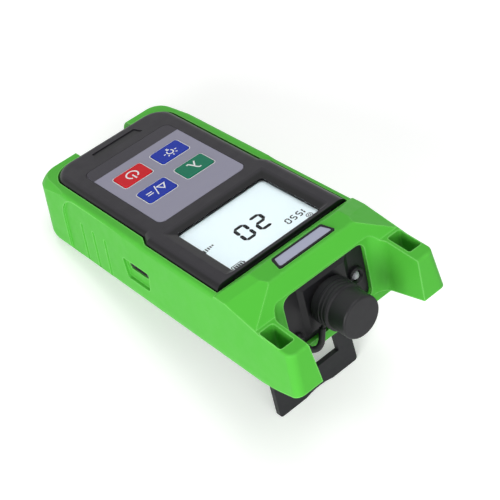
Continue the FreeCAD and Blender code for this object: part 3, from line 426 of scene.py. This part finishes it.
# ---- outlines and prints -------------------------------------------------------------------
INK = 0.02                # thickness of a print
MITRE_LIMIT = 0.35        # stops a sharp corner of a line from reaching too far
DIGIT_GAP = 0.04          # between the segments of a digit, as a share of their stroke
DIGIT_LEAN = 0.06         # how far a digit leans, as a share of its height
SEGMENTS = {0: "abcdef", 1: "bc", 2: "abged", 5: "afgcd"}


def arc(cx, cy, radius, start, end, steps=24):
    """Points on an arc, angles in degrees."""
    angles = [math.radians(start + (end - start) * step / steps) for step in range(steps + 1)]
    return [(cx + radius * math.cos(angle), cy + radius * math.sin(angle)) for angle in angles]


def rectangle(x0, x1, y0, y1):
    return [(x0, y0), (x1, y0), (x1, y1), (x0, y1)]


def rounded_rectangle(x0, x1, y0, y1, radius):
    corners = ((x1 - radius, y1 - radius, 0), (x0 + radius, y1 - radius, 90),
               (x0 + radius, y0 + radius, 180), (x1 - radius, y0 + radius, 270))
    points = []
    for cx, cy, start in corners:
        points += arc(cx, cy, radius, start, start + 90, 8)
    return points


def about(x, y, *points):
    """Points given from a middle at (x, y)."""
    return [(x + dx, y + dy) for dx, dy in points]


def ribbon(points, width, closed=False):
    """Quads along a line, mitred at its corners."""
    line = [Vector(point) for point in points]
    count = len(line)
    left, right = [], []
    for index, point in enumerate(line):
        ahead = behind = None
        if closed or index < count - 1:
            ahead = (line[(index + 1) % count] - point).normalized()
        if closed or index:
            behind = (point - line[index - 1]).normalized()
        ahead, behind = ahead or behind, behind or ahead
        tangent = (ahead + behind).normalized()
        normal = Vector((-tangent.y, tangent.x))
        reach = width / 2 / max(MITRE_LIMIT, tangent.dot(ahead))
        left.append(point + normal * reach)
        right.append(point - normal * reach)
    quads = []
    for index in range(count if closed else count - 1):
        after = (index + 1) % count
        quads.append((right[index], right[after], left[after], left[index]))
    return quads


def ring(cx, cy, radius, width, steps):
    return ribbon(arc(cx, cy, radius, 0, 360, steps)[:-1], width, closed=True)


def segment(start, end, width):
    """One pointed bar of a digit."""
    along = (end - start).normalized()
    side = Vector((-along.y, along.x)) * width / 2
    tip = along * width / 2
    return (start, start + tip - side, end - tip - side, end, end - tip + side,
            start + tip + side)


def digit(figure, x, y, width, height, stroke):
    """The segments of a digit whose lower left corner is (x, y)."""
    middle = height / 2
    ends = {"a": (0, height, width, height), "b": (width, middle, width, height),
            "c": (width, 0, width, middle), "d": (0, 0, width, 0), "e": (0, 0, 0, middle),
            "f": (0, middle, 0, height), "g": (0, middle, width, middle)}
    bars = []
    for name in SEGMENTS[figure]:
        x0, y0, x1, y1 = ends[name]
        start, end = Vector((x0, y0)), Vector((x1, y1))
        inset = (end - start).normalized() * stroke * DIGIT_GAP
        bar = segment(start + inset, end - inset, stroke)
        bars.append([(x + dx + DIGIT_LEAN * dy, y + dy) for dx, dy in bar])
    return bars


def number(figures, x, y, pitch, width, height, stroke):
    """A row of digits whose lower left corner is (x, y)."""
    bars = []
    for index, figure in enumerate(figures):
        bars += digit(figure, x + pitch * index, y, width, height, stroke)
    return bars


def prints(name, outlines, height, look, body):
    """A thin raised print of closed outlines, each a prism from height up."""
    vertices, faces = [], []
    for outline in outlines:
        base, count = len(vertices), len(outline)
        vertices += [world(x, y, height) for x, y in outline]
        vertices += [world(x, y, height + INK) for x, y in outline]
        faces.append([base + count + index for index in range(count)])
        faces.append([base + index for index in reversed(range(count))])
        for index in range(count):
            after = (index + 1) % count
            faces.append((base + index, base + after, base + count + after,
                          base + count + index))
    mesh = new_mesh(name, vertices, faces, MATERIALS[look])
    mesh.validate()
    piece = add(name, mesh)
    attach(piece, body)


# ---- the keypad ----------------------------------------------------------------------------
PAD_CORNER = 2.4          # radius of the overlay's corners
BAND_END = 19.3           # y where the title band ends
KEY_FLANGE = 0.8          # how far a key's flange reaches out under the overlay
LINE_OUT = 0.3            # from a key's side to the line round it
LINE_WIDTH, LINE_CORNER = 0.24, 1.1


def title_band(low, high):
    """The band across the near end of the keypad, left bare."""
    near = low.y + PAD_CORNER
    outline = arc(low.x + PAD_CORNER, near, PAD_CORNER, 180, 270, 10)
    outline += arc(high.x - PAD_CORNER, near, PAD_CORNER, 270, 360, 10)
    return outline + [(high.x, BAND_END), (low.x, BAND_END)]


def key_line(key):
    """A thin light line round a key."""
    inset = KEY_FLANGE - LINE_OUT
    low, high = span(key, ORIGIN)
    loop = rounded_rectangle(low.x + inset, high.x - inset, low.y + inset, high.y - inset,
                             LINE_CORNER)
    return ribbon(loop, LINE_WIDTH, closed=True)


def power_sign(x, y):
    """A ring with its gap at the top, and a bar in the gap."""
    stroke, radius, drop = 0.55, 2.0, 0.2
    open_ring = ribbon(arc(x, y - drop, radius, 120, 420, 40), stroke)
    return open_ring + ribbon(about(x, y, (0, -0.1), (0, 2.5)), stroke)


def lamp_sign(x, y):
    """A bulb over its foot, with five rays."""
    rise = y + 0.35
    sign = ribbon(arc(x, rise, 1.1, -50, 230), 0.46)
    for half, drop in ((0.5, 1.05), (0.36, 1.75)):
        sign += ribbon(about(x, y, (-half, -drop), (half, -drop)), 0.44)
    ray_start, ray_end = 1.8, 2.5
    for angle in (0, 45, 90, 135, 180):
        cosine, sine = math.cos(math.radians(angle)), math.sin(math.radians(angle))
        sign += ribbon([(x + ray_start * cosine, rise + ray_start * sine),
                        (x + ray_end * cosine, rise + ray_end * sine)], 0.42)
    return sign


def reference_sign(x, y):
    """A triangle for a difference, a slanted stroke and two level bars."""
    sign = ribbon(about(x, y, (-3.6, -1.2), (-2.2, 1.3), (-0.8, -1.2)), 0.44, closed=True)
    sign += ribbon(about(x, y, (-0.5, -2.3), (1.0, 2.4)), 0.4)
    for level in (0.45, -0.65):
        sign += ribbon(about(x, y, (1.6, level), (3.8, level)), 0.46)
    return sign


def wavelength_sign(x, y):
    """The Greek letter for wavelength."""
    stroke = 0.52
    sign = ribbon(about(x, y, (-1.35, 2.0), (-0.7, 2.1), (-0.2, 1.4), (0.7, -1.4),
                        (1.1, -2.05), (1.7, -1.9)), stroke)
    return sign + ribbon(about(x, y, (0.1, 0.35), (-1.4, -2.1)), stroke)


# each key's sign, with the print's name, body and slot
SIGNS = {
    "key_power": (power_sign, "mark_power", "key_1", "key_red"),
    "key_lamp": (lamp_sign, "mark_lamp", "key_2", "key_blue"),
    "key_reference": (reference_sign, "mark_reference", "key_3", "key_blue"),
    "key_wavelength": (wavelength_sign, "mark_wavelength", "key_4", "key_green"),
}

pad_low, pad_high = span("keypad_overlay", ORIGIN)
prints("keypad_band", [title_band(pad_low, pad_high)], pad_high.z, "band", "meter")
key_lines = [quad for key in SIGNS for quad in key_line(key)]
prints("key_outlines", key_lines, pad_high.z, "white", "meter")
for key, (sign, name, body, slot) in SIGNS.items():
    low, high = span(key, ORIGIN)
    outlines = sign((low.x + high.x) / 2, (low.y + high.y) / 2)
    prints(name, outlines, high.z, "white", body)


# ---- the display ---------------------------------------------------------------------------
GASKET_CLEAR = 0.3        # how far the gasket stays outside the view
GASKET_EDGE = 0.5         # vertices this far inside the gasket's outline are on its opening
VIEW_CORNER = 2.1


def ring_sign():
    """Two rings, one in the other."""
    x, y, stroke = -14.2, 88.0, 0.24
    return ring(x, y, 1.0, stroke, 24) + ring(x, y, 0.45, stroke, 20)


def battery_sign():
    """A battery with four cells, its pole to the left."""
    sign = ribbon(rounded_rectangle(11.8, 15.7, 87.2, 89.2, 0.3), 0.28, closed=True)
    pitch = 0.8
    for index in range(4):
        sign.append(rectangle(12.25 + pitch * index, 12.87 + pitch * index, 87.6, 88.8))
    return sign + [rectangle(11.3, 11.7, 87.8, 88.6)]


def rising_bars():
    pitch, step, bottom, first_top = 0.85, 0.24, 74.2, 75.0
    sign = []
    for index in range(5):
        x = 12.5 + pitch * index
        sign += ribbon([(x, bottom), (x, first_top + step * index)], 0.46)
    return sign


def view_corners():
    """Corners that round off the view, which the gasket's opening sets."""
    low, high = span("display_gasket", ORIGIN)
    inner = [point for point in vertices_of("display_gasket", ORIGIN)
             if low.x + GASKET_EDGE < point.x < high.x - GASKET_EDGE
             and low.y + GASKET_EDGE < point.y < high.y - GASKET_EDGE]
    x0 = min(point.x for point in inner) + GASKET_CLEAR
    x1 = max(point.x for point in inner) - GASKET_CLEAR
    y0 = min(point.y for point in inner) + GASKET_CLEAR
    y1 = max(point.y for point in inner) - GASKET_CLEAR
    fillets = []
    for x, y, across, along, start in ((x1, y1, -1, -1, 0), (x0, y1, 1, -1, 90),
                                       (x0, y0, 1, 1, 180), (x1, y0, -1, 1, 270)):
        fillets.append([(x, y)] + arc(x + across * VIEW_CORNER, y + along * VIEW_CORNER,
                                      VIEW_CORNER, start + 90, start, 10))
    return fillets


segments = number((2, 0), -5.3, 74.75, pitch=6.1, width=3.6, height=6.7, stroke=1.15)
segments += number((1, 5, 5, 0), -15.7, 83.8, pitch=2.2, width=1.25, height=2.3, stroke=0.46)
segments += ring_sign() + battery_sign() + rising_bars()
glass = span("lcd_module", ORIGIN)[1].z
prints("display_segments", segments, glass, "black", "meter")
window_top = span("display_window", ORIGIN)[1].z
prints("window_corners", view_corners(), window_top, "black", "meter")


# ---- the charging socket's collar ----------------------------------------------------------
SLOT_SIDE, SLOT_ABOVE = 1.1, 0.25         # from the socket to the collar's outline
SLOT_CORNER = 1.08
RIM_SEARCH = 0.2          # how far past that outline the boot's rim is looked for
COLLAR_GAP = 0.05         # from the socket's mouth to the collar's back
COLLAR_SINK = 0.3         # how far the collar stays inside the boot's side
COLLAR_BEVEL = 0.2
MOUTH_CORNER, INNER_CORNER = 0.8, 0.6
MOUTH_DEPTH = 0.4         # how deep the mouth narrows
SHELL_WALL = 0.3          # how far the narrow part covers the socket's shell


def collar_mesh(name, material):
    """A dark collar that lines the boot's slot, as deep as the slot."""
    low, high = span("usb_socket", ORIGIN)
    side, above = SLOT_SIDE + RIM_SEARCH, SLOT_ABOVE + RIM_SEARCH
    rim = max(point.x for point in vertices_of("boot", ORIGIN)
              if low.y - side < point.y < high.y + side
              and low.z - above < point.z < high.z + above)
    back, front = high.x + COLLAR_GAP, rim - COLLAR_SINK
    bevel_side, bevel_above = SLOT_SIDE - COLLAR_BEVEL, SLOT_ABOVE - COLLAR_BEVEL
    # each loop's x, its distance from the socket's outline sideways and above, and its corner
    rows = ((back, SLOT_SIDE, SLOT_ABOVE, SLOT_CORNER),
            (front - COLLAR_BEVEL, SLOT_SIDE, SLOT_ABOVE, SLOT_CORNER),
            (front, bevel_side, bevel_above, SLOT_CORNER - COLLAR_BEVEL),
            (front, 0.0, 0.0, MOUTH_CORNER),
            (front - MOUTH_DEPTH, -SHELL_WALL, -SHELL_WALL, INNER_CORNER),
            (back, -SHELL_WALL, -SHELL_WALL, INNER_CORNER))
    vertices = []
    for x, side, above, corner in rows:
        loop = rounded_rectangle(low.y - side, high.y + side, low.z - above, high.z + above,
                                 corner)
        vertices += [world(x, y, z) for y, z in loop]
    size = len(vertices) // len(rows)
    faces = []
    for row in range(len(rows)):
        here, there = row * size, (row + 1) % len(rows) * size
        for index in range(size):
            after = (index + 1) % size
            faces.append((here + index, here + after, there + after, there + index))
    return new_mesh(name, vertices, faces, material)


collar = add("usb_collar", collar_mesh("usb_collar", MATERIALS["panel"]))
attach(collar, "meter")

# ---- the cap's tether ----------------------------------------------------------------------
# It keeps its CAD shape, and stretches from its plug in the panel to the ring on the cap.
tether = add("tether_strap", frame["nodes"]["cap_tether"].data.copy())
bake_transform(tether)
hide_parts("cap_tether")

# ---- stage, light and camera ---------------------------------------------------------------
# Sizes and places of the floor and the lights are metres in the room.
FLOOR_HALF, FLOOR_DROP = 4.0, 0.0002
GLOW_NEAR, GLOW_FAR = 0.12, 0.6           # distances between which the floor's glow grows
GLOW_LOW, GLOW_HIGH = 0.3, 0.8
ROOM_LIGHT = 0.28         # strength of the white room as a light; it is 1 where it is seen


def floor_material():
    """Pale floor that keeps the shadow, with a glow for the camera and in reflections."""
    material, tree, shader = new_material("floor")
    shader.inputs["Base Color"].default_value = (0.9, 0.9, 0.9, 1)
    shader.inputs["Roughness"].default_value = 0.9
    shader.inputs["Specular IOR Level"].default_value = 0.0
    distance = vector_maths(tree, "LENGTH", place_on(tree))
    strength = mapped(tree, distance, GLOW_NEAR, GLOW_FAR, GLOW_LOW, GLOW_HIGH, smooth=True)
    seen = any_ray(tree, "Camera", "Glossy")
    glow = tree.nodes.new("ShaderNodeEmission")
    tree.links.new(maths(tree, "MULTIPLY", seen, strength), glow.inputs["Strength"])
    both = tree.nodes.new("ShaderNodeAddShader")
    tree.links.new(shader.outputs["BSDF"], both.inputs[0])
    tree.links.new(glow.outputs["Emission"], both.inputs[1])
    tree.links.new(both.outputs["Shader"], tree.nodes["Material Output"].inputs["Surface"])
    return material


def white_world(level):
    """An even white room: full white where it is seen or mirrored, softer as a light."""
    room = bpy.data.worlds.new("room")
    bpy.context.scene.world = room
    room.use_nodes = True
    tree = room.node_tree
    background = tree.nodes["Background"]
    seen = any_ray(tree, "Camera", "Glossy", "Transmission")
    tree.links.new(mapped(tree, seen, 0.0, 1.0, level, 1.0), background.inputs["Strength"])
    background.inputs["Color"].default_value = (1, 1, 1, 1)


def soft_light(name, place, target, size, power):
    lamp = bpy.data.lights.new(name, "AREA")
    lamp.shape = "SQUARE"
    lamp.size = size
    lamp.energy = power
    light = add(name, lamp)
    light.location = place
    away = Vector(target) - Vector(place)
    light.rotation_euler = away.to_track_quat("-Z", "Y").to_euler()


floor_corners = [(x, y, -FLOOR_DROP) for x, y in
                 rectangle(-FLOOR_HALF, FLOOR_HALF, -FLOOR_HALF, FLOOR_HALF)]
floor = add("floor", new_mesh("floor", floor_corners, [(0, 1, 2, 3)], floor_material()))

white_world(ROOM_LIGHT)
TARGET = (0, 0, 0.03)
soft_light("key_light", (0.72, 0.3, 0.33), TARGET, 0.45, 5.0)
soft_light("fill_light", (0.1, 0.85, 0.45), TARGET, 0.6, 2.2)
soft_light("top_light", (-0.1, -0.1, 0.9), TARGET, 0.6, 3.5)

# the camera, fitted to the outline and corners of the object in the photograph
CAMERA_LENS, SENSOR_WIDTH = 90.76, 36.0
CAMERA_PLACE = (152.71, 331.23, 222.48)
CAMERA_RIGHT = (-0.7494, 0.6302, -0.2032)
CAMERA_UP = (-0.5271, -0.3821, 0.7590)
camera = add("camera", bpy.data.cameras.new("camera"))
camera.data.lens = CAMERA_LENS
camera.data.sensor_width = SENSOR_WIDTH
camera.data.clip_start = 0.01
right = direction(*CAMERA_RIGHT).normalized()
up = direction(*CAMERA_UP)
back = right.cross(up).normalized()
up = back.cross(right)
place = world(*CAMERA_PLACE)
camera.matrix_world = Matrix(((right.x, up.x, back.x, place.x), (right.y, up.y, back.y, place.y),
                              (right.z, up.z, back.z, place.z), (0, 0, 0, 1)))
bpy.context.scene.camera = camera
bpy.context.scene.view_settings.view_transform = "Standard"
